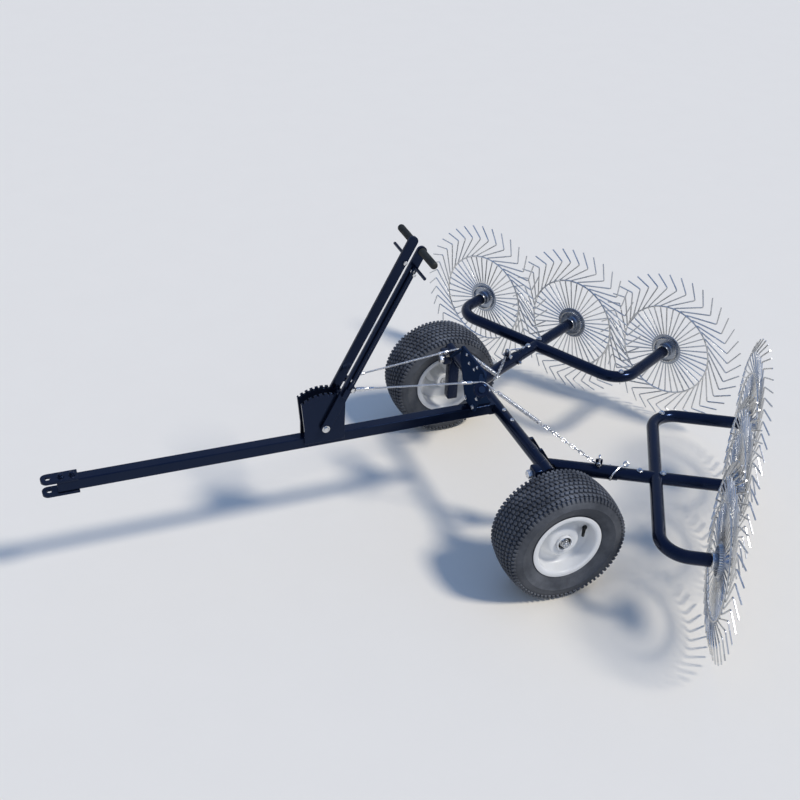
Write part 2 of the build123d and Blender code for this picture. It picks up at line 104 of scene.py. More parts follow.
def rangeNode(tree, value, low, high, toLow=0.0, toHigh=1.0):
    node = addNode(tree, "ShaderNodeMapRange")
    for label, number in (("From Min", low), ("From Max", high), ("To Min", toLow), ("To Max", toHigh)):
        node.inputs[label].default_value = number
    tree.links.new(value, node.inputs["Value"])
    return node.outputs["Result"]


def wornEdgeGroup():
    group, start, end = newGroup(
        "Worn edges", [("Radius", 0.0016), ("Amount", 1.0)],
        [("Mask", "NodeSocketFloat"), ("Normal", "NodeSocketVector")],
    )
    rounded = addNode(group, "ShaderNodeBevel", samples=6)
    group.links.new(start.outputs["Radius"], rounded.inputs["Radius"])
    surface = addNode(group, "ShaderNodeNewGeometry")
    turn = addNode(group, "ShaderNodeVectorMath", operation="DOT_PRODUCT")
    group.links.new(rounded.outputs["Normal"], turn.inputs[0])
    group.links.new(surface.outputs["Normal"], turn.inputs[1])
    edge = rangeNode(group, turn.outputs["Value"], 0.98, 0.78)
    place = addNode(group, "ShaderNodeTexCoord").outputs["Object"]
    patches = rangeNode(group, noiseNode(group, 38.0, 6.0, place, 0.7), 0.5, 0.72)
    worn = mathNode(group, "MULTIPLY", edge, patches)
    mask = mathNode(group, "MULTIPLY", worn, start.outputs["Amount"], clamp=True)
    group.links.new(mask, end.inputs["Mask"])
    group.links.new(rounded.outputs["Normal"], end.inputs["Normal"])
    return group


def dustGroup():
    group, start, end = newGroup(
        "Settled dust", [("Amount", 0.3), ("Scale", 6.0)], [("Mask", "NodeSocketFloat")],
    )
    surface = addNode(group, "ShaderNodeNewGeometry")
    parts = addNode(group, "ShaderNodeSeparateXYZ")
    group.links.new(surface.outputs["Normal"], parts.inputs[0])
    upward = rangeNode(group, parts.outputs["Z"], -0.3, 1.0, 0.25, 1.0)
    place = addNode(group, "ShaderNodeTexCoord").outputs["Object"]
    cloud = rangeNode(group, noiseNode(group, start.outputs["Scale"], 7.0, place, 0.62), 0.38, 0.72)
    settled = mathNode(group, "MULTIPLY", upward, cloud)
    mask = mathNode(group, "MULTIPLY", settled, start.outputs["Amount"], clamp=True)
    group.links.new(mask, end.inputs["Mask"])
    return group


def grainGroup():
    group, start, end = newGroup(
        "Fine grain", [("Scale", 300.0), ("Spread", 0.5)], [("Value", "NodeSocketFloat")],
    )
    place = addNode(group, "ShaderNodeTexCoord").outputs["Object"]
    coarse = noiseNode(group, mathNode(group, "MULTIPLY", start.outputs["Scale"], 0.13), 3.0, place)
    fine = noiseNode(group, start.outputs["Scale"], 2.0, place)
    blend = addNode(group, "ShaderNodeMix", data_type="FLOAT")
    group.links.new(start.outputs["Spread"], blend.inputs[0])
    group.links.new(fine, blend.inputs[2])
    group.links.new(coarse, blend.inputs[3])
    group.links.new(blend.outputs[0], end.inputs["Value"])
    return group


wornEdges = wornEdgeGroup()
settledDust = dustGroup()
fineGrain = grainGroup()


def placeGroup(tree, group, **values):
    node = addNode(tree, "ShaderNodeGroup", node_tree=group)
    for label, value in values.items():
        node.inputs[label].default_value = value
    return node


def mixColours(tree, factor, first, second):
    node = addNode(tree, "ShaderNodeMix", data_type="RGBA")
    tree.links.new(factor, node.inputs[0])
    for socket, value in ((node.inputs[6], first), (node.inputs[7], second)):
        if isinstance(value, tuple):
            socket.default_value = (*value, 1.0)
        else:
            tree.links.new(value, socket)
    return node.outputs[2]


def startMaterial(name, **plain):
    material = bpy.data.materials.new(name)
    material.use_nodes = True
    tree = material.node_tree
    shader = tree.nodes["Principled BSDF"]
    for label, value in plain.items():
        shader.inputs[label.replace("_", " ")].default_value = value
    return material, tree, shader


def bumpFrom(tree, shader, height, strength, distance, normal=None):
    bump = addNode(tree, "ShaderNodeBump")
    bump.inputs["Strength"].default_value = strength
    bump.inputs["Distance"].default_value = distance
    tree.links.new(height, bump.inputs["Height"])
    if normal is not None:
        tree.links.new(normal, bump.inputs["Normal"])
    tree.links.new(bump.outputs["Normal"], shader.inputs["Normal"])


# finishes
blackPaint = {
    "colour": (0.0036, 0.0062, 0.0150), "dust": (0.13, 0.12, 0.10), "bare": (0.24, 0.235, 0.23),
    "roughness": (0.10, 0.24), "dustAmount": 0.045, "wear": 0.5, "edgeRadius": 0.0022,
    "peelScale": 210.0, "peelDepth": 0.00018, "coat": 0.10, "sheen": (0.18, 0.38, 1.0), "specular": 0.31,
}
# the mast plate would only mirror the floor, so its paint is dull, with the sky's blue reflection painted into
# its colour, bluer than the rest
mastPaintedReflection = {**blackPaint, "colour": (0.0120, 0.0240, 0.0560), "coat": 0.0, "specular": 0.0}
whitePaint = {
    "colour": (0.76, 0.77, 0.77), "dust": (0.36, 0.34, 0.29), "roughness": (0.24, 0.42),
    "dustAmount": 0.34, "wear": 0.0, "edgeRadius": 0.0014, "peelScale": 160.0, "peelDepth": 0.00018,
    "coat": 0.6, "sheen": (1.0, 1.0, 1.0), "specular": 0.5,
}
tyreRubber = {
    "colour": (0.048, 0.053, 0.063), "dust": (0.26, 0.275, 0.30), "roughness": (0.58, 0.84),
    "dustAmount": 0.55, "grain": 700.0, "depth": 0.0004,
}
softRubber = {
    "colour": (0.012, 0.0135, 0.0125), "dust": (0.085, 0.092, 0.075), "roughness": (0.50, 0.78),
    "dustAmount": 0.28, "grain": 900.0, "depth": 0.0003,
}
galvanised = {
    "light": (0.40, 0.44, 0.51), "dark": (0.22, 0.245, 0.29), "roughness": (0.20, 0.38), "spangle": 120.0,
}
wireSteel = {
    "light": (0.82, 0.82, 0.81), "dark": (0.50, 0.50, 0.49), "roughness": (0.20, 0.38), "spangle": 34.0,
}
boltZinc = {
    "light": (0.84, 0.84, 0.83), "dark": (0.56, 0.57, 0.59), "roughness": (0.18, 0.34), "spangle": 260.0,
}
cableSteel = {
    "light": (0.84, 0.85, 0.86), "dark": (0.32, 0.33, 0.34), "roughness": (0.26, 0.46), "strand": 620.0,
}


def linkSurface(tree, shader, colour, roughness):
    tree.links.new(colour, shader.inputs["Base Color"])
    tree.links.new(roughness, shader.inputs["Roughness"])


def paintMaterial(name, values):
    sheen = (*values["sheen"], 1.0)
    material, tree, shader = startMaterial(
        name, Coat_Roughness=0.05, Specular_Tint=sheen, Specular_IOR_Level=values["specular"],
    )
    dust = placeGroup(tree, settledDust, Amount=values["dustAmount"], Scale=7.0)
    grain = placeGroup(tree, fineGrain, Scale=values["peelScale"], Spread=0.65)
    colour = mixColours(tree, dust.outputs["Mask"], values["colour"], values["dust"])
    edges = placeGroup(tree, wornEdges, Radius=values["edgeRadius"], Amount=values["wear"])
    if values["wear"]:
        colour = mixColours(tree, edges.outputs["Mask"], colour, values["bare"])
    clean = rangeNode(tree, grain.outputs["Value"], 0.3, 0.7, *values["roughness"])
    dull = mathNode(tree, "MULTIPLY", dust.outputs["Mask"], 0.5)
    linkSurface(tree, shader, colour, mathNode(tree, "ADD", clean, dull, clamp=True))
    coat = mathNode(tree, "SUBTRACT", values["coat"], dust.outputs["Mask"], clamp=True)
    tree.links.new(coat, shader.inputs["Coat Weight"])
    bumpFrom(tree, shader, grain.outputs["Value"], 0.35, values["peelDepth"], edges.outputs["Normal"])
    return material


def rubberMaterial(name, values):
    material, tree, shader = startMaterial(name, Specular_IOR_Level=0.35)
    dust = placeGroup(tree, settledDust, Amount=values["dustAmount"], Scale=11.0)
    grain = placeGroup(tree, fineGrain, Scale=values["grain"], Spread=0.4)
    colour = mixColours(tree, dust.outputs["Mask"], values["colour"], values["dust"])
    roughness = rangeNode(tree, grain.outputs["Value"], 0.3, 0.7, *values["roughness"])
    linkSurface(tree, shader, colour, roughness)
    bumpFrom(tree, shader, grain.outputs["Value"], 0.5, values["depth"])
    return material


def metalMaterial(name, values):
    material, tree, shader = startMaterial(name, Metallic=1.0)
    place = addNode(tree, "ShaderNodeTexCoord").outputs["Object"]
    cells = addNode(tree, "ShaderNodeTexVoronoi", feature="F1")
    cells.inputs["Scale"].default_value = values["spangle"]
    tree.links.new(place, cells.inputs["Vector"])
    shade = addNode(tree, "ShaderNodeRGBToBW")
    tree.links.new(cells.outputs["Color"], shade.inputs[0])
    grain = placeGroup(tree, fineGrain, Scale=values["spangle"] * 4.0, Spread=0.5)
    total = mathNode(tree, "ADD", shade.outputs[0], grain.outputs["Value"])
    blend = mathNode(tree, "MULTIPLY", total, 0.5)
    colour = mixColours(tree, blend, values["dark"], values["light"])
    linkSurface(tree, shader, colour, rangeNode(tree, blend, 0.2, 0.8, *values["roughness"]))
    bumpFrom(tree, shader, grain.outputs["Value"], 0.3, 0.00012)
    return material


def cableMaterial(name, values):
    material, tree, shader = startMaterial(name, Metallic=0.9)
    place = addNode(tree, "ShaderNodeTexCoord").outputs["Object"]
    strands = addNode(tree, "ShaderNodeTexWave", wave_type="BANDS", bands_direction="DIAGONAL")
    strands.inputs["Scale"].default_value = values["strand"]
    tree.links.new(place, strands.inputs["Vector"])
    bands = strands.outputs["Fac"]
    colour = mixColours(tree, bands, values["dark"], values["light"])
    linkSurface(tree, shader, colour, rangeNode(tree, bands, 0.0, 1.0, *values["roughness"]))
    bumpFrom(tree, shader, bands, 0.6, 0.0006)
    return material


finish = {
    "frame_paint": paintMaterial("glossBlackPaint", blackPaint),
    # the mast paint carries a painted sky reflection in its colour
    "mast_painted_reflection": paintMaterial("mastPaintedReflection", mastPaintedReflection),
    "rim_paint": paintMaterial("whiteRimEnamel", whitePaint),
    "tyre_rubber": rubberMaterial("turfTyreRubber", tyreRubber),
    "grip_rubber": rubberMaterial("gripRubber", softRubber),
    "zinc_steel": metalMaterial("galvanisedHub", galvanised),
    "tine_steel": metalMaterial("springWire", wireSteel),
    "bright_steel": metalMaterial("zincPlate", boltZinc),
    "cable": cableMaterial("wireRope", cableSteel),
}
print("finishes ready")


# mesh helpers
weld = 1e-6  # points closer than this are one


def mirrored(spot, way):
    x, y, z = spot
    return Vector((x, y * way, z))


def basis(origin, along, up=Vector((0, 0, 1))):
    x = Vector(along).normalized()
    if abs(x.dot(up)) > 0.98:
        up = Vector((0, 1, 0))
    z = (Vector(up) - x * x.dot(up)).normalized()
    y = z.cross(x)
    return Matrix.Translation(origin) @ Matrix((x, y, z)).transposed().to_4x4()


def addOnce(bm, mesh, place=Matrix()):
    mesh.transform(place)
    bm.from_mesh(mesh)
    bpy.data.meshes.remove(mesh)


def addMesh(bm, mesh, place=Matrix()):
    addOnce(bm, mesh.copy(), place)


def storeMesh(name, bm):
    bmesh.ops.recalc_face_normals(bm, faces=bm.faces)
    mesh = bpy.data.meshes.new(name)
    bm.to_mesh(mesh)
    bm.free()
    return mesh


def soften(bm, edges, offset, segments):
    bmesh.ops.bevel(bm, geom=edges, offset=offset, offset_type="OFFSET", segments=segments, profile=0.5,
                    affect="EDGES", material=-1)


def addSpun(bm, profile, place, steps):
    part = bmesh.new()
    loop = [part.verts.new((along, 0, radius)) for radius, along in profile]  # closed outline
    edges = [part.edges.new(pair) for pair in zip(loop, loop[1:] + loop[:1])]
    bmesh.ops.spin(part, geom=loop + edges, cent=(0, 0, 0), axis=(1, 0, 0), angle=math.tau, steps=steps,
                   use_merge=True)
    bmesh.ops.remove_doubles(part, verts=part.verts, dist=weld)
    addOnce(bm, storeMesh("turned", part), place)


def finishPiece(name, bm, slot, body, nodes=(), smooth=38, recalculate=True, material=None, bend=None):
    if recalculate:
        bmesh.ops.remove_doubles(bm, verts=bm.verts, dist=weld)
        bmesh.ops.recalc_face_normals(bm, faces=bm.faces)
    mesh = bpy.data.meshes.new(name)
    bm.to_mesh(mesh)
    bm.free()
    mesh.polygons.foreach_set("use_smooth", [True] * len(mesh.polygons))
    mesh.set_sharp_from_angle(angle=math.radians(smooth))
    mesh.materials.append(material or finish[slot])
    piece = bpy.data.objects.new(name, mesh)
    bpy.context.scene.collection.objects.link(piece)
    if bend:
        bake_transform(piece)  # baked in place, attached to no body
    else:
        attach(piece, body)
    if nodes:
        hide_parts(*nodes)
    return piece


def wireMesh(path, radius, sides=8, smooth=True, cyclic=False):
    curve = bpy.data.curves.new("wire", "CURVE")
    curve.dimensions = "3D"
    curve.bevel_depth = radius
    curve.bevel_resolution = max(0, sides // 4 - 1)
    curve.use_fill_caps = True
    curve.resolution_u = 4
    spline = curve.splines.new("NURBS" if smooth else "POLY")
    spline.points.add(len(path) - 1)
    for point, place in zip(spline.points, path):
        point.co = (*place, 1.0)
    spline.use_cyclic_u = cyclic
    if smooth:
        spline.use_endpoint_u = not cyclic
        spline.order_u = 3
    holder = bpy.data.objects.new("wire", curve)
    bpy.context.scene.collection.objects.link(holder)
    bpy.context.view_layer.update()
    mesh = bpy.data.meshes.new_from_object(holder.evaluated_get(bpy.context.evaluated_depsgraph_get()))
    bpy.data.objects.remove(holder)
    bpy.data.curves.remove(curve)
    return mesh


def addWire(bm, path, radius, place=Matrix(), **options):
    addOnce(bm, wireMesh(path, radius, **options), place)


# every bolt head: width across flats over corner radius, softened rim as a share of the flats, washer
bolt = {"corner": 1.732, "soften": 0.07, "washer": 0.002, "washerSides": 28}


def addBolt(bm, at, outward, flats, head, washer=0.0, turn=0.0):
    place = basis(at, outward) @ Matrix.Rotation(math.pi / 2, 4, "Y") @ Matrix.Rotation(turn, 4, "Z")
    lift = bolt["washer"] if washer else 0.0
    if washer:
        middle = place @ Matrix.Translation((0, 0, lift / 2))
        bmesh.ops.create_cone(bm, cap_ends=True, segments=bolt["washerSides"], radius1=washer / 2,
                              radius2=washer / 2, depth=lift, matrix=middle)
    corner = flats / bolt["corner"]
    made = bmesh.ops.create_cone(bm, cap_ends=True, segments=6, radius1=corner, radius2=corner, depth=head,
                                 matrix=place @ Matrix.Translation((0, 0, lift + head / 2)))
    top = [v for v in made["verts"] if (place.inverted() @ v.co).z > lift + head * 0.9]
    edges = {e for v in top for e in v.link_edges if e.other_vert(v) in top}
    soften(bm, list(edges), flats * bolt["soften"], 2)

# tyres: a turned carcass with rows of tread blocks and shoulder ribs
tyre = {
    "radius": 0.2025, "halfWidth": 0.0815, "treadHalf": 0.069, "crown": 0.009, "crownPower": 2.2,
    "bead": 0.1163, "seat": 0.1013, "seatHalf": 0.0615, "steps": 116,
    "rows": 8, "blocksRound": 78, "blockHeight": 0.0062, "blockFill": 0.74, "rowFill": 0.76, "sink": 0.002,
    "taper": (0.86, 0.88, 1.0), "chamfer": 0.0010, "skew": 0.42,
    "ribWidth": 0.014, "ribFill": 0.56, "ribSink": 0.001, "ribOut": 0.0035, "ribRadius": 0.1855,
    "ribLean": 64.0,
}


def tyreProfile():
    half, crown, low = tyre["halfWidth"], tyre["crown"], tyre["radius"] - tyre["blockHeight"]
    tread, seat, seatHalf = tyre["treadHalf"], tyre["seat"], tyre["seatHalf"]
    outer = [
        (tyre["bead"] + 0.0005, 0.0625), (0.1215, 0.0665), (0.1275, 0.0715), (0.1300, 0.0722), (0.1325, 0.0740),
        (0.1440, 0.0785), (0.1560, half), (0.1575, half + 0.0008), (0.1592, half), (0.1700, half - 0.0008),
        (0.1800, half - 0.0035), (0.1866, tread + 0.0045), (low - crown + 0.0008, tread - 0.004),
        (low - crown * 0.50, tread * 0.72), (low - crown * 0.16, tread * 0.38), (low, 0.0),
    ]
    right = [(radius, -along) for radius, along in reversed(outer[:-1])]
    return [(seat, seatHalf)] + outer + right + [(seat, -seatHalf)]


def treadBlock(length, width, height):
    block = bmesh.new()
    made = bmesh.ops.create_cube(block, size=1.0)
    bmesh.ops.scale(block, vec=(width, length, height), verts=made["verts"])
    top = [v for v in block.verts if v.co.z > 0]
    bmesh.ops.scale(block, vec=tyre["taper"], verts=top)
    soften(block, [e for e in block.edges if all(v in top for v in e.verts)], tyre["chamfer"], 1)
    bmesh.ops.translate(block, vec=(0, 0, height / 2), verts=block.verts)
    return storeMesh("block", block)


def crownDrop(offset):
    share = abs(offset) / tyre["treadHalf"]
    return tyre["crown"] * share ** tyre["crownPower"]


def buildTyre(side, way):
    place = basis(centreOf("tyre_" + side), (0, way, 0))
    bm = bmesh.new()
    addSpun(bm, tyreProfile(), place, tyre["steps"])
    count, rows, half = tyre["blocksRound"], tyre["rows"], tyre["treadHalf"]
    height, sink = tyre["blockHeight"], tyre["sink"]
    pitch, rowWidth, low = math.tau / count, 2 * half / rows, tyre["radius"] - height
    block = treadBlock(pitch * tyre["radius"] * tyre["blockFill"], rowWidth * tyre["rowFill"], height + sink)
    rib = treadBlock(pitch * tyre["radius"] * tyre["ribFill"], tyre["ribWidth"], height + tyre["ribSink"])
    step = 0.004  # over which the crown's slope is taken
    for row in range(rows):
        offset = (row + 0.5) * rowWidth - half
        lean = tyre["skew"] * (1 if row % 2 else -1)
        slope = math.atan2(crownDrop(offset + step) - crownDrop(offset - step), 2 * step)
        foot = Matrix.Translation((offset, 0, low - crownDrop(offset) - sink))
        foot = foot @ Matrix.Rotation(slope, 4, "Y") @ Matrix.Rotation(lean, 4, "Z")
        for index in range(count):
            angle = (index + 0.5 * (row % 2)) * pitch
            addMesh(bm, block, place @ Matrix.Rotation(angle, 4, "X") @ foot)
    for edge in (-1, 1):
        foot = Matrix.Translation((edge * (half + tyre["ribOut"]), 0, tyre["ribRadius"]))
        foot = foot @ Matrix.Rotation(edge * math.radians(tyre["ribLean"]), 4, "Y")
        for index in range(count):
            angle = (index + (0.75 if edge > 0 else 0.25)) * pitch
            addMesh(bm, rib, place @ Matrix.Rotation(angle, 4, "X") @ foot)
    for mesh in (block, rib):
        bpy.data.meshes.remove(mesh)
    finishPiece("turfTyre_" + side, bm, "tyre_rubber", "wheel_" + side, ["tyre_" + side], smooth=34,
                recalculate=False)


for side, way in sides:
    buildTyre(side, way)
print("tyres ready")


# rims with rolled flange, dished disc and valve stem
rim = {
    "flange": 0.1160, "edge": 0.0680, "bead": 0.1005, "wall": 0.0033, "disc": 0.0120, "bowl": 0.0380,
    "bowlRadius": 0.0620, "hubHole": 0.0274, "steps": 96,
    "valveReach": 0.085, "valveAngle": -77.0, "valveLean": 0.62, "valveLength": 0.038,
}


def rimProfile():
    edge, bead, wall, lip, bore = (rim[key] for key in ("edge", "bead", "wall", "flange", "hubHole"))
    disc, bowl, wide = rim["disc"], rim["bowl"], rim["bowlRadius"]
    outside = [
        (bead, 0.0), (bead, edge - 0.0085), (bead + 0.0015, edge - 0.0050), (bead + 0.0060, edge - wall),
        (lip - 0.0030, edge - wall), (lip, edge - wall + 0.0010), (lip + 0.0002, edge - 0.0010),
        (lip - 0.0020, edge), (bead + 0.0030, edge - 0.0004), (bead - 0.0015, edge - 0.0020),
        (bead - wall, edge - 0.0065),
    ]
    dish = [
        (bead - wall, disc + 0.0130), (bead - wall - 0.0025, disc + 0.0068),
        (bead - wall - 0.0090, disc + wall), (0.0800, disc + wall), (wide + 0.0090, disc + wall + 0.0010),
        (wide + 0.0030, disc + 0.0085), (wide - 0.0080, bowl - 0.0045), (wide - 0.0120, bowl + 0.0012),
        (wide - 0.0170, bowl + wall),
        (bore + 0.0010, bowl + wall), (bore, bowl + wall - 0.0008), (bore, bowl),
        (wide - 0.0170, bowl), (wide - 0.0110, bowl - 0.0080), (wide + 0.0010, disc + 0.0040),
        (wide + 0.0090, disc), (bead - wall - 0.0060, disc),
    ]
    back = [
        (bead - wall, disc - 0.0040), (bead - wall, -edge + 0.0065), (bead - 0.0015, -edge + 0.0020),
        (bead + 0.0030, -edge + 0.0004), (lip - 0.0020, -edge), (lip, -edge + 0.0012), (lip, -edge + wall),
        (bead + 0.0060, -edge + wall), (bead + 0.0010, -edge + 0.0055), (bead, -edge + 0.0090),
    ]
    return outside + dish + back


def buildRim(side, way):
    place = basis(centreOf("rim_" + side), (0, way, 0))
    bm = bmesh.new()
    addSpun(bm, rimProfile(), place, rim["steps"])
    finishPiece("dishedRim_" + side, bm, "rim_paint", "wheel_" + side, ["rim_" + side], smooth=50)
    stem = bmesh.new()
    foot = place @ Matrix.Rotation(math.radians(rim["valveAngle"]) * way, 4, "X")
    foot = foot @ Matrix.Translation((rim["disc"] + rim["wall"], 0, rim["valveReach"]))
    foot = foot @ Matrix.Rotation(rim["valveLean"], 4, "Y")
    length = rim["valveLength"]
    addSpun(stem, [
        (0.0, -0.002), (0.0085, -0.002), (0.0085, 0.003), (0.0060, 0.006), (0.0052, length * 0.6),
        (0.0048, length * 0.68), (0.0048, length), (0.0036, length + 0.002), (0.0, length + 0.002),
    ], foot, 24)
    finishPiece("valveStem_" + side, stem, "grip_rubber", "wheel_" + side)


for side, way in sides:
    buildRim(side, way)
print("rims ready")


# wheel hubs with a hollow mouth whose floor is a black seal disc, also standing in as painted shade of the
# hollow, stub axles with castle nut and split pin
hub = {
    "radius": 0.0270, "bore": 0.0142, "inner": -0.0420, "outer": 0.0500, "mouth": 0.0222, "floor": 0.0405,
    "flange": 0.0460, "flangeBack": 0.0320, "flangeFront": 0.0377, "soft": 0.0012,
    "axle": 0.0125, "legFace": -0.0920, "tip": 0.0590, "washer": 0.0152, "nutAt": 0.0435, "nutFlats": 0.0240,
    "nut": 0.0090, "crown": 0.0112, "crownLength": 0.0045, "pinWire": 0.0016,
}


def buildHub(side, way):
    place = basis(centreOf("rim_" + side), (0, way, 0))
    radius, soft, mouth, floor = hub["radius"], hub["soft"], hub["mouth"], hub["floor"]
    bm = bmesh.new()
    addSpun(bm, [
        (hub["bore"], hub["inner"]), (radius - soft, hub["inner"]), (radius, hub["inner"] + soft),
        (radius, hub["flangeBack"]), (hub["flange"], hub["flangeBack"]), (hub["flange"], hub["flangeFront"]),
        (radius, hub["flangeFront"]), (radius, hub["outer"] - soft), (radius - soft, hub["outer"]),
        (mouth + soft, hub["outer"]), (mouth, hub["outer"] - soft), (mouth, floor), (hub["bore"], floor),
    ], place, 56)
    finishPiece("wheelHub_" + side, bm, "rim_paint", "wheel_" + side, ["wheel_hub_" + side])
    # black rubber disc at the mouth's floor: a seal, and painted shade that darkens the hollow
    sealAndShade = bmesh.new()
    wide = mouth - 0.0002
    addSpun(sealAndShade, [(hub["bore"], floor + 0.0002), (wide, floor + 0.0002), (wide, floor + 0.0008),
                   (hub["bore"], floor + 0.0007)], place, 48)
    finishPiece("hubSealAndShade_" + side, sealAndShade, "grip_rubber", "wheel_" + side)
    buildAxle(side, way, place)


def buildAxle(side, way, place):
    axle, tip, nutAt, crown, washer, soft = (
        hub[key] for key in ("axle", "tip", "nutAt", "crown", "washer", "soft")
    )
    thread, bore = crown * 0.72, crown * 0.7  # rings start a little inside the thread
    bm = bmesh.new()
    addSpun(bm, [
        (0.0, hub["legFace"]), (axle, hub["legFace"]), (axle, nutAt - 0.0022), (thread, nutAt - 0.0020),
        (thread, tip - soft), (thread - soft, tip), (0.0, tip),
    ], place, 40)
    addSpun(bm, [
        (bore, nutAt - 0.0020), (washer - 0.0006, nutAt - 0.0020), (washer, nutAt - 0.0014),
        (washer, nutAt - 0.0006), (washer - 0.0006, nutAt), (bore, nutAt),
    ], place, 40)
    addBolt(bm, place @ Vector((nutAt, 0, 0)), (0, way, 0), flats=hub["nutFlats"], head=hub["nut"], turn=0.35)
    low = nutAt + hub["nut"]
    high = low + hub["crownLength"]
    addSpun(bm, [(bore, low - 0.001), (crown, low - 0.001), (crown, high), (bore, high)], place, 30)
    split = low + hub["crownLength"] * 0.5
    addWire(bm, [
        (split, -crown - 0.004, 0.002), (split + 0.001, -crown, 0), (split + 0.001, crown, 0),
        (split + 0.004, crown + 0.004, 0.001), (split + 0.008, crown + 0.003, 0.006),
    ], hub["pinWire"], place=place)
    finishPiece("stubAxle_" + side, bm, "bright_steel", "frame", ["stub_axle_" + side])


for side, way in sides:
    buildHub(side, way)
print("hubs ready")


# rake wheels: zinc hub and disc, bright collars, wire ring and trailing round tines
rake = {
    "hubRadius": 0.024, "length": 0.050, "gap": 0.003, "bore": 0.0102, "discRadius": 0.060, "disc": 0.006,
    "discAt": 0.022, "tines": 40, "wire": 0.00265, "root": 0.046, "ringRadius": 0.176, "ringSize": 0.006,
    "ringAt": 0.01975, "bend": (0.250, 27.0, 0.0), "tip": (0.2965, 18.0, 0.016), "bendRadius": 0.012,
    "collar": 0.0245, "collarLength": 0.0045,
}


def trailing(plane, spot):
    radius, sweep, back = spot
    angle = math.radians(sweep)
    return Vector((plane + back, radius * math.cos(angle), -radius * math.sin(angle)))


def rakeHubMesh():
    barrel, length, bore, outer = (rake[key] for key in ("hubRadius", "length", "bore", "discRadius"))
    start, end, soft = rake["discAt"], rake["discAt"] + rake["disc"], 0.0010
    bm = bmesh.new()
    addSpun(bm, [
        (bore, 0.0), (barrel - soft, 0.0), (barrel, soft), (barrel, start - 0.004), (barrel + 0.0035, start),
        (barrel + 0.0035, end), (barrel, end + 0.004), (barrel, length - soft), (barrel - soft, length),
        (bore, length),
    ], Matrix(), 56)
    addSpun(bm, [
        (barrel, start + 0.0004), (outer - 0.010, start + 0.0004), (outer - 0.006, start),
        (outer - soft, start), (outer, start + soft), (outer, end - soft), (outer - soft, end), (barrel, end),
    ], Matrix(), 64)
    return storeMesh("rakeHub", bm)


def collarMesh():
    bm = bmesh.new()
    bore, outer, length, soft = rake["bore"], rake["collar"], rake["collarLength"], 0.0005
    for low in (0.0, rake["length"] - length):
        high = low + length
        addSpun(bm, [(bore, low - 0.0002), (outer - soft, low - 0.0002), (outer, low + soft),
                     (outer, high - soft), (outer - soft, high), (bore, high)], Matrix(), 48)
    return storeMesh("collars", bm)


def tineMesh():
    bm = bmesh.new()
    ring, size, at = rake["ringRadius"], rake["ringSize"] / 2, rake["ringAt"]
    angles = [math.tau * (index + 0.5) / 8 for index in range(8)]
    addSpun(bm, [(ring + size * math.cos(a), at + size * math.sin(a)) for a in angles], Matrix(), 120)
    plane, root = rake["discAt"] + rake["disc"] / 2, rake["root"]
    corners = [Vector((at - rake["disc"], root, 0)), Vector((plane, root + 0.002, 0)), Vector((plane, ring, 0)),
               trailing(plane, rake["bend"]), trailing(plane, rake["tip"])]
    path = [corners[0]]
    for before, corner, after in zip(corners, corners[1:], corners[2:]):
        back, on = before - corner, after - corner
        reach = min(rake["bendRadius"], back.length / 2, on.length / 2)
        path += [corner + back.normalized() * reach, corner, corner + on.normalized() * reach]
    path.append(corners[-1])
    tine = wireMesh(path, rake["wire"])
    for index in range(rake["tines"]):
        addMesh(bm, tine, Matrix.Rotation(math.tau * index / rake["tines"], 4, "X"))
    bpy.data.meshes.remove(tine)
    return storeMesh("tines", bm)


wheelParts = [("tinedWheel_", tineMesh(), "tine_steel"), ("rakeHub_", rakeHubMesh(), "zinc_steel"),
              ("rakeCollars_", collarMesh(), "bright_steel")]


def buildRakeWheel(name, way):
    joint = jointOf["rake_spin_" + name]
    axis = Vector(joint["axis"])
    place = basis(Vector(joint["pos_m"]) + axis * rake["gap"], axis)
    if (place.to_3x3().col[1].y < 0) != (way > 0):
        place = place @ Matrix.Scale(-1, 4, (0, 1, 0))  # the two gangs mirror each other
    for title, mesh, slot in wheelParts:
        bm = bmesh.new()
        addMesh(bm, mesh, place)
        finishPiece(title + name, bm, slot, "rake_" + name, ["rake_wheel_" + name], smooth=40)


for side, way in sides:
    for spot in ("outer", "middle", "inner"):
        buildRakeWheel(spot + "_" + side, way)
print("rake wheels ready")


# lift rigging: coil springs and link chains, from points read off the rods in the solids
rigging = {
    "coilRadius": 0.0060, "coilWire": 0.0017, "coilPitch": 0.0046, "coilSteps": 10, "hookLength": 0.018,
    "hook": [(0.001, 0, 0.004), (0.0, 0, 0.0), (0.002, 0, -0.004), (0.007, 0, -0.0055), (0.012, 0, -0.002),
             (0.015, 0, 0.004)],
    "linkPitch": 0.0168, "linkWidth": 0.0062, "linkWire": 0.0016,
    "springLeft": ((-0.16119, 0.12936, 0.53198), (-0.29885, 0.23507, 0.43261)),
    "springRight": ((-0.16233, -0.12926, 0.5309), (-0.31037, -0.13591, 0.39659)),
    "chainLeft": [(-0.29905, 0.23522, 0.43246), (-0.4367, 0.34092, 0.33309), (-0.4440, 0.3448, 0.3345)],
    "chainRight": [
        (-0.31385, -0.13607, 0.39342), (-0.30888, -0.16158, 0.37054), (-0.34794, -0.21677, 0.3488),
        (-0.39713, -0.28627, 0.33443), (-0.43656, -0.34199, 0.3345), (-0.4440, -0.3448, 0.3345),
    ],
}


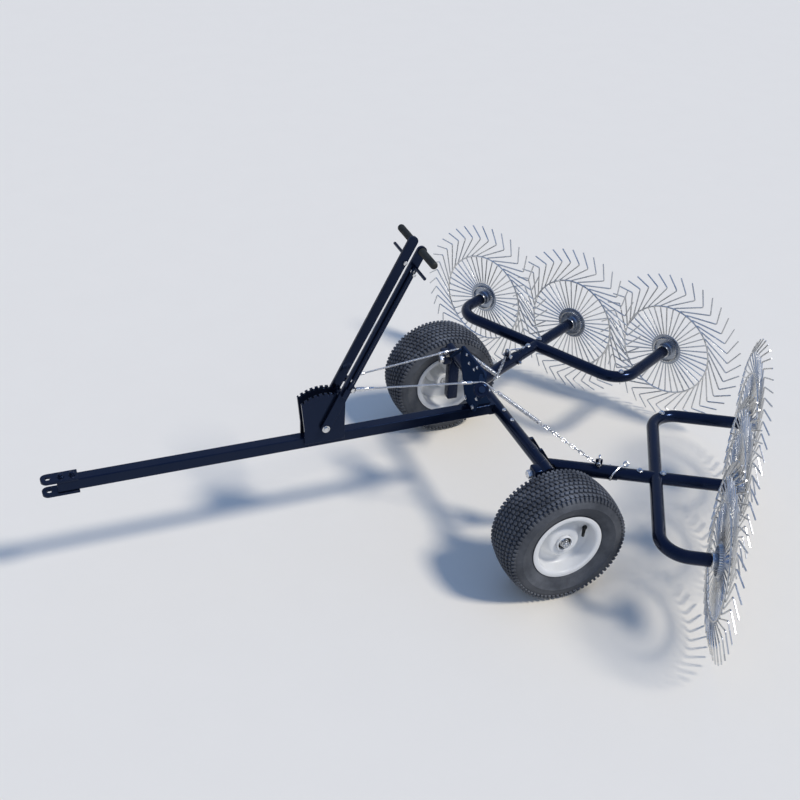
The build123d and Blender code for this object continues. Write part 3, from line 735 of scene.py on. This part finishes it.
def buildSpring(side, ends):
    start, end = Vector(ends[0]), Vector(ends[1])
    full, hook, radius = (end - start).length, rigging["hookLength"], rigging["coilRadius"]
    place = basis(start, end - start)
    turns = (full - 2 * hook) / rigging["coilPitch"]
    steps = int(turns * rigging["coilSteps"])
    path = list(rigging["hook"])
    for index in range(steps + 1):
        share = index / steps
        angle = math.tau * turns * share
        path.append((hook + (full - 2 * hook) * share, radius * math.sin(angle), radius * math.cos(angle)))
    bm = bmesh.new()
    addWire(bm, path, rigging["coilWire"], place=place)
    addWire(bm, [(full - x, y, z) for x, y, z in reversed(rigging["hook"])], rigging["coilWire"], place=place)
    finishPiece("liftCoilSpring_" + side, bm, "bright_steel", "frame", ["lift_spring_" + side], smooth=60)


def linkMesh():
    half, wide = rigging["linkPitch"] / 2 + rigging["linkWire"], rigging["linkWidth"]
    near, out = half - wide * 0.75, wide / 2 + 0.001
    corner = [(near, out), (half, out), (half, -out), (near, -out)]
    path = [(x, y, 0) for x, y in corner] + [(-x, -y, 0) for x, y in corner]
    return wireMesh(path, rigging["linkWire"], cyclic=True)


# the chain is baked in place and attached to no body
def buildChain(side, points):
    run = [Vector(point) for point in points]
    lengths = [(b - a).length for a, b in zip(run, run[1:])]
    count = round(sum(lengths) / rigging["linkPitch"])
    link = linkMesh()
    bm = bmesh.new()
    for index in range(count):
        reach = (index + 0.5) / count * sum(lengths)
        leg = 0
        while reach > lengths[leg] and leg < len(lengths) - 1:
            reach -= lengths[leg]
            leg += 1
        along = (run[leg + 1] - run[leg]).normalized()
        place = basis(run[leg] + along * reach, along)
        addMesh(bm, link, place @ Matrix.Rotation(math.radians(45 + 90 * (index % 2)), 4, "X"))
    bpy.data.meshes.remove(link)
    finishPiece("liftChain_" + side, bm, "bright_steel", "frame", ["lift_chain_" + side], smooth=60,
                bend=("arm_" + side, run[0], run[-2]))


# sheaves with a shallow groove, so that the rope shows on their rim
sheave = {
    "centre": (-0.1203, 0.12121, 0.53393), "axis": (0.12076, 0.75887, 0.63994), "half": 0.0070, "bore": 0.0066,
    "rim": 0.0242, "groove": 0.0220, "soft": 0.0008,
}


def buildSheave(side, way):
    half, bore, outer, groove, soft = (sheave[key] for key in ("half", "bore", "rim", "groove", "soft"))
    bm = bmesh.new()
    addSpun(bm, [
        (bore, -half), (outer - 0.006, -half), (outer - 0.005, -half + soft), (outer - soft, -half + soft),
        (outer, -half + 2 * soft), (outer, -0.0042), (groove, -0.0020), (groove, 0.0020), (outer, 0.0042),
        (outer, half - 2 * soft), (outer - soft, half - soft), (outer - 0.005, half - soft),
        (outer - 0.006, half), (bore, half),
    ], basis(mirrored(sheave["centre"], way), mirrored(sheave["axis"], way)), 56)
    finishPiece("sheave_" + side, bm, "frame_paint", "frame", ["pulley_" + side])


for side, way in sides:
    buildSheave(side, way)
    buildSpring(side, rigging["spring" + side.capitalize()])
    buildChain(side, rigging["chain" + side.capitalize()])
print("rigging ready")


# legs with the beam's closed end over them, and a clamp block with its large bolt in front
leg = {
    "low": (-0.019, 0.360, 0.177), "high": (0.019, 0.398, 0.368), "corner": 0.0040,
    "beam": (0.005, 0.0, 0.375), "tube": 0.021, "tubeFrom": 0.3595, "tubeEnd": 0.4005,
    "blockLow": (0.017, 0.350, 0.336), "blockHigh": (0.049, 0.394, 0.386), "blockCorner": 0.0060,
    "bolt": (0.049, 0.364, 0.358), "boltFlats": 0.0240, "boltHead": 0.011, "boltWasher": 0.031,
    "small": [((0.019, 0.390, 0.357), (1, 0, 0)), ((0.002, 0.398, 0.359), (0, 1, 0))],
    "smallFlats": 0.009, "smallHead": 0.0030,
}
wheelCentre = centreOf("rim_left")


# a place given as ahead of the wheels' axle, out from the middle, above the ground
def fromAxle(spot, way):
    return Vector((wheelCentre.x + spot[0], spot[1] * way, spot[2]))


def addBlock(bm, first, second, corner):
    part = bmesh.new()
    bmesh.ops.create_cube(part, size=1.0)
    bmesh.ops.scale(part, vec=[abs(v) for v in second - first], verts=part.verts)
    bmesh.ops.translate(part, vec=(first + second) / 2, verts=part.verts)
    soften(part, part.edges[:], corner, 3)
    addOnce(bm, storeMesh("block", part))


def buildLeg(side, way):
    bm = bmesh.new()
    addBlock(bm, fromAxle(leg["low"], way), fromAxle(leg["high"], way), leg["corner"])
    addBlock(bm, fromAxle(leg["blockLow"], way), fromAxle(leg["blockHigh"], way), leg["blockCorner"])
    tube, begin, end = leg["tube"], leg["tubeFrom"], leg["tubeEnd"]
    addSpun(bm, [
        (0.0, begin), (tube, begin), (tube, end - 0.0015), (tube - 0.0015, end), (tube - 0.0045, end),
        (tube - 0.0052, end - 0.0012), (0.0, end - 0.0012),
    ], basis(fromAxle(leg["beam"], way), (0, way, 0)), 56)
    finishPiece("beamLeg_" + side, bm, "frame_paint", "frame", ["axle_leg_" + side])
    bolts = bmesh.new()
    addBolt(bolts, fromAxle(leg["bolt"], way), (1, 0, 0), flats=leg["boltFlats"], head=leg["boltHead"],
            washer=leg["boltWasher"], turn=0.2)
    for spot, facing in leg["small"]:
        addBolt(bolts, fromAxle(spot, way), mirrored(facing, way), flats=leg["smallFlats"],
                head=leg["smallHead"])
    finishPiece("legBolts_" + side, bolts, "bright_steel", "frame")


for side, way in sides:
    buildLeg(side, way)
print("legs ready")


# bolts, each dropped on to the surface below it
frameBolts = [
    ("lever_quadrant", (0.613, 0.0, 0.399), "side", 0.010),
    ("lift_mast", (0.104, 0.020, 0.547), "front", 0.007),
    ("lift_mast", (0.104, 0.042, 0.567), "front", 0.007),
    ("lift_mast", (0.104, 0.055, 0.454), "front", 0.008),
    ("lift_mast", (0.104, 0.030, 0.4075), "front", 0.011),
    ("crossbeam", (0.005, 0.063, 0.396), "up", 0.009),
    ("crossbeam", (0.005, 0.125, 0.396), "up", 0.009),
]
boltShare = {"head": 0.45, "washer": 1.5, "leverHead": 0.4}  # of the width across flats
pivot = {"pin": 0.009, "head": 0.007, "nut": 0.005, "flats": 0.0165, "washer": 0.0250}
hitchBolts = [(1.392, 0.402), (1.425, 0.402)]
gangBolts = [(0.308, 0.0), (0.381, 0.0), (0.391, 0.355)]
leverBolts = [
    (0.347, 0.946, 1, 0.013), (0.340, 0.932, 1, 0.011), (0.527, 0.5596, 1, 0.015), (0.529, 0.595, 1, 0.013),
    (0.342, 0.938, -1, 0.013),
]
leverPlate = {"middle": 0.0355, "half": 0.0045}
up = Vector((0, 0, 1))


def seatOf(node, at, outward):
    reach = 0.025
    hit = frame["nodes"][node].ray_cast(at + outward * reach, -outward, distance=2 * reach)
    return hit[1] if hit[0] else at


def buildFrameBolts():
    bm = bmesh.new()
    for way in (1, -1):
        facing = {"side": Vector((0, way, 0)), "front": Vector((1, 0, 0)), "up": up}
        for node, spot, towards, flats in frameBolts:
            at = seatOf(node, fromAxle(spot, way), facing[towards])
            addBolt(bm, at, facing[towards], flats=flats, head=flats * boltShare["head"],
                    washer=flats * boltShare["washer"], turn=spot[0] * 9)
    finishPiece("frameBolts", bm, "bright_steel", "frame")


def buildLeverPivot():
    low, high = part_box("lever_pivot_pin")
    middle, reach = (low + high) / 2, (high.y - low.y) / 2 - pivot["head"]
    pin = pivot["pin"]
    bm = bmesh.new()
    addSpun(bm, [(0.0, -reach), (pin, -reach), (pin, reach), (0.0, reach)], basis(middle, (0, 1, 0)), 40)
    for way in (-1, 1):
        at = Vector((middle.x, middle.y + way * reach, middle.z))
        addBolt(bm, at, (0, way, 0), flats=pivot["flats"], head=pivot["nut"], washer=pivot["washer"], turn=0.3)
    finishPiece("leverPivot", bm, "bright_steel", "frame", ["lever_pivot_pin"])


def buildHitchBolts():
    bm = bmesh.new()
    for ahead, height in hitchBolts:
        at = seatOf("hitch_clevis", fromAxle((ahead, 0, height), 1), up)
        addBolt(bm, at, up, flats=0.013, head=0.0075, washer=0.021, turn=0.3)
    finishPiece("hitchBolts", bm, "frame_paint", "frame")


buildFrameBolts()
buildLeverPivot()
buildHitchBolts()


# lift ropes with pressed sleeves and a ferrule at the lever
rope = {
    "lug": (0.2823, 0.0355, 0.55959), "corner": (-0.13207, 0.107, 0.553), "anchor": (-0.4440, 0.3448, 0.3345),
    "radius": 0.0030, "from": 0.0115, "steps": 10, "easing": 0.018, "tail": 0.042,
    "ferrule": 0.0065, "ferruleLength": 0.026, "ferruleSoft": 0.0008,
    "sleeve": 0.0050, "sleeveLength": 0.036, "sleeveFront": 0.034, "sleeveBack": 0.036,
}
# pin wire over each arm, with the ring at its end
pinWire = {
    "wire": 0.0025, "ring": 0.0078, "ringWire": 0.0030, "tilt": 50.0, "hang": (0.8, 0.5, 0.4),
    "path": [(0.216, -0.0365, -0.003), (0.217, -0.0372, 0.008), (0.224, -0.031, 0.021), (0.238, -0.015, 0.030),
             (0.250, -0.002, 0.031), (0.256, 0.004, 0.031)],
}
# shackle at each chain's end, in the arm's own directions
shackle = {"place": (0.176, 0.0, 0.0345), "half": 0.0090, "wire": 0.0036, "bow": 0.0250, "boltFlats": 0.013}


def addSleeve(bm, start, run):
    radius, length, soft = rope["sleeve"], rope["sleeveLength"], 0.001
    addSpun(bm, [
        (0.0, 0.0), (radius - soft, 0.0), (radius, soft), (radius, length * 0.45),
        (radius - 0.0008, length * 0.5), (radius, length * 0.55), (radius, length - soft),
        (radius - soft, length), (0.0, length),
    ], basis(start, run), 24)


# the rope is baked in place and attached to no body
def buildRope(side, way):
    lug, corner, anchor = (mirrored(rope[key], way) for key in ("lug", "corner", "anchor"))
    run, leaving = (corner - lug).normalized(), (anchor - corner).normalized()
    start, still = lug + run * rope["from"], lug + run * rope["sleeveFront"]
    path = [start.lerp(still, index / rope["steps"]) for index in range(rope["steps"] + 1)]
    path += [corner - run * rope["easing"], corner, corner + leaving * rope["easing"],
             corner + leaving * rope["tail"]]
    bm = bmesh.new()
    addWire(bm, path, rope["radius"], sides=12)
    finishPiece("liftRope_" + side, bm, "bright_steel", "hand_lever_" + side, ["lift_cable_" + side], smooth=60,
                material=finish["cable"], bend=("frame", start, still))
    bm = bmesh.new()
    outer, length, soft = rope["ferrule"], rope["ferruleLength"], rope["ferruleSoft"]
    addSpun(bm, [
        (0.0, 0.0), (outer - soft, 0.0), (outer, soft), (outer, length - soft), (outer - soft, length),
        (0.0, length),
    ], basis(start, run), 32)
    finishPiece("ropeFerrule_" + side, bm, "bright_steel", "hand_lever_" + side)
    bm = bmesh.new()
    addSleeve(bm, still, run)
    addSleeve(bm, corner - run * (rope["sleeveBack"] + rope["sleeveLength"]), run)
    finishPiece("cableSleeves_" + side, bm, "bright_steel", "frame")


def armPlace(side):
    return basis(Vector(jointOf["arm_lift_" + side]["pos_m"]), Vector(jointOf["gang_slide_" + side]["axis"]))


def buildArmFittings(side, way, place):
    bm = bmesh.new()
    path = [mirrored(spot, way) for spot in pinWire["path"]]
    addWire(bm, path, pinWire["wire"], sides=12, place=place)
    ring, angles = pinWire["ring"], [math.tau * index / 8 for index in range(8)]
    hung = place @ Matrix.Translation(path[-1] + mirrored(pinWire["hang"], way) * ring)
    hung = hung @ Matrix.Rotation(math.radians(pinWire["tilt"]) * way, 4, "X")
    addWire(bm, [(ring * math.cos(a), ring * math.sin(a), 0) for a in angles], pinWire["ringWire"], sides=12,
            cyclic=True, place=hung)
    half, bow, wire = shackle["half"], shackle["bow"], shackle["wire"]
    lean = place @ Matrix.Translation(shackle["place"])
    addWire(bm, [
        (0, -half, -0.003), (0, -half, bow * 0.6), (0, -half * 0.8, bow), (0, half * 0.8, bow),
        (0, half, bow * 0.6), (0, half, -0.003),
    ], wire, sides=12, place=lean)
    addWire(bm, [(0, -half - 0.004, 0), (0, half + 0.004, 0)], wire, sides=12, smooth=False, place=lean)
    across = place.to_3x3().col[1]
    for turn in (-1, 1):
        at = lean @ Vector((0, turn * (half + 0.003), 0))
        addBolt(bm, at, across * turn, flats=shackle["boltFlats"], head=0.0055)
    finishPiece("armFittings_" + side, bm, "bright_steel", "arm_" + side)


def buildGangBolts(side, way, place):
    bm = bmesh.new()
    for along, out in gangBolts:
        at = seatOf("gang_frame_" + side, place @ Vector((along, out * way, 0.021)), up)
        addBolt(bm, at, up, flats=0.013, head=0.006, washer=0.020, turn=along * 7)
    finishPiece("gangBolts_" + side, bm, "bright_steel", "gang_" + side)


def buildLeverBolts(side, way):
    outward = Vector((0, way, 0))
    bm = bmesh.new()
    for ahead, height, facing, flats in leverBolts:
        out = leverPlate["middle"] + leverPlate["half"] * facing
        at = seatOf("lever_" + side, fromAxle((ahead, out, height), way), outward * facing)
        addBolt(bm, at, outward * facing, flats=flats, head=flats * boltShare["leverHead"])
    finishPiece("leverBolts_" + side, bm, "bright_steel", "hand_lever_" + side)


for side, way in sides:
    buildRope(side, way)
    buildArmFittings(side, way, armPlace(side))
    buildGangBolts(side, way, armPlace(side))
    buildLeverBolts(side, way)
print("ropes, fittings and bolts ready")


# ribbed hand grips
grip = {
    "radius": 0.0115, "length": 0.102, "rib": 0.0009, "ribs": 15, "cap": 0.0116, "capLength": 0.007,
    "ribShape": [(0.0, 0.0), (0.25, 1.0), (0.6, 1.0), (0.85, 0.0)],
}


def gripProfile():
    radius, length, rib, cap, capEnd = (grip[key] for key in ("radius", "length", "rib", "cap", "capLength"))
    profile = [(0.0, 0.0), (cap, 0.0), (cap + 0.001, 0.001), (cap + 0.001, capEnd - 0.001), (cap, capEnd)]
    pitch = (length - capEnd - 0.012) / grip["ribs"]
    for index in range(grip["ribs"]):
        at = capEnd + 0.003 + index * pitch
        for share, height in grip["ribShape"]:
            profile.append((radius - rib + height * rib, at + share * pitch))
    return profile + [
        (radius, length - 0.007), (radius - 0.0012, length - 0.003), (radius - 0.0045, length - 0.0006),
        (0.0, length),
    ]


def buildGrip(side, way):
    low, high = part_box("lever_grip_" + side)
    middle = (low + high) / 2
    start = Vector((middle.x, low.y if way > 0 else high.y, middle.z))
    bm = bmesh.new()
    addSpun(bm, gripProfile(), basis(start, (0, way, 0)), 40)
    finishPiece("handGrip_" + side, bm, "grip_rubber", "hand_lever_" + side, ["lever_grip_" + side], smooth=50)


for side, way in sides:
    buildGrip(side, way)
print("grips ready")


# finishes of the solid parts that are shown as they are
# the mast plate takes the paint whose colour holds a painted sky reflection
special = {"lift_mast": "mast_painted_reflection"}
slotOf = {item["node"]: item["material_slot"] for item in frame["record"]["subparts"]}
for name, node in frame["nodes"].items():
    material = finish[special.get(name, slotOf[name])]
    node.data.materials.clear()
    node.data.materials.append(material)
print("solid parts finished")


# floor, light and camera
studio = {
    "floor": (0.92, 0.86, 0.74), "speckle": 0.97, "floorSize": 60.0, "sky": (0.26, 0.48, 1.0),
    "horizon": (0.92, 0.95, 1.0), "skyStrength": 0.55, "sun": 2.3, "sunAngle": 11.0,
    "sunFrom": (-2.6, 2.4, 4.6), "sunColour": (1.0, 0.955, 0.89),
}


def buildStudio():
    bm = bmesh.new()
    bmesh.ops.create_grid(bm, x_segments=1, y_segments=1, size=studio["floorSize"] / 2)
    mesh = bpy.data.meshes.new("studioFloor")
    bm.to_mesh(mesh)
    bm.free()
    material, tree, shader = startMaterial("paleFloor", Roughness=0.85, Specular_IOR_Level=0.2)
    grain = placeGroup(tree, fineGrain, Scale=40.0, Spread=0.8)
    darker = tuple(value * studio["speckle"] for value in studio["floor"])
    tone = mixColours(tree, grain.outputs["Value"], darker, studio["floor"])
    tree.links.new(tone, shader.inputs["Base Color"])
    mesh.materials.append(material)
    floor = bpy.data.objects.new("studioFloor", mesh)
    bpy.context.scene.collection.objects.link(floor)
    world = bpy.data.worlds.new("softSky")
    bpy.context.scene.world = world
    world.use_nodes = True
    tree = world.node_tree
    back = tree.nodes["Background"]
    direction = addNode(tree, "ShaderNodeTexCoord").outputs["Generated"]
    parts = addNode(tree, "ShaderNodeSeparateXYZ")
    tree.links.new(direction, parts.inputs[0])
    height = rangeNode(tree, parts.outputs["Z"], 0.0, 0.75)
    tree.links.new(mixColours(tree, height, studio["horizon"], studio["sky"]), back.inputs["Color"])
    back.inputs["Strength"].default_value = studio["skyStrength"]
    lamp = bpy.data.lights.new("softSun", "SUN")
    lamp.energy, lamp.color = studio["sun"], studio["sunColour"]
    lamp.angle = math.radians(studio["sunAngle"])
    holder = bpy.data.objects.new("softSun", lamp)
    holder.rotation_euler = Vector(studio["sunFrom"]).to_track_quat("Z", "Y").to_euler()
    bpy.context.scene.collection.objects.link(holder)


view = {
    "place": (1.25483, 2.8839, 2.4844), "azimuth": -111.704, "tilt": 33.057, "roll": -2.406, "lens": 51.65,
}


def buildCamera():
    azimuth, tilt, roll = (math.radians(view[key]) for key in ("azimuth", "tilt", "roll"))
    level = math.cos(tilt)
    forward = Vector((math.cos(azimuth) * level, math.sin(azimuth) * level, -math.sin(tilt)))
    right = forward.cross(Vector((0, 0, 1))).normalized()
    down = forward.cross(right)
    across = right * math.cos(roll) + down * math.sin(roll)
    lower = down * math.cos(roll) - right * math.sin(roll)
    lens = bpy.data.cameras.new("photoCamera")
    lens.lens = view["lens"]
    camera = bpy.data.objects.new("photoCamera", lens)
    turn = Matrix((across, -lower, -forward)).transposed().to_4x4()
    camera.matrix_world = Matrix.Translation(view["place"]) @ turn
    bpy.context.scene.collection.objects.link(camera)
    bpy.context.scene.camera = camera


buildStudio()
buildCamera()
bpy.context.scene.view_settings.view_transform = "Standard"
print("scene ready")
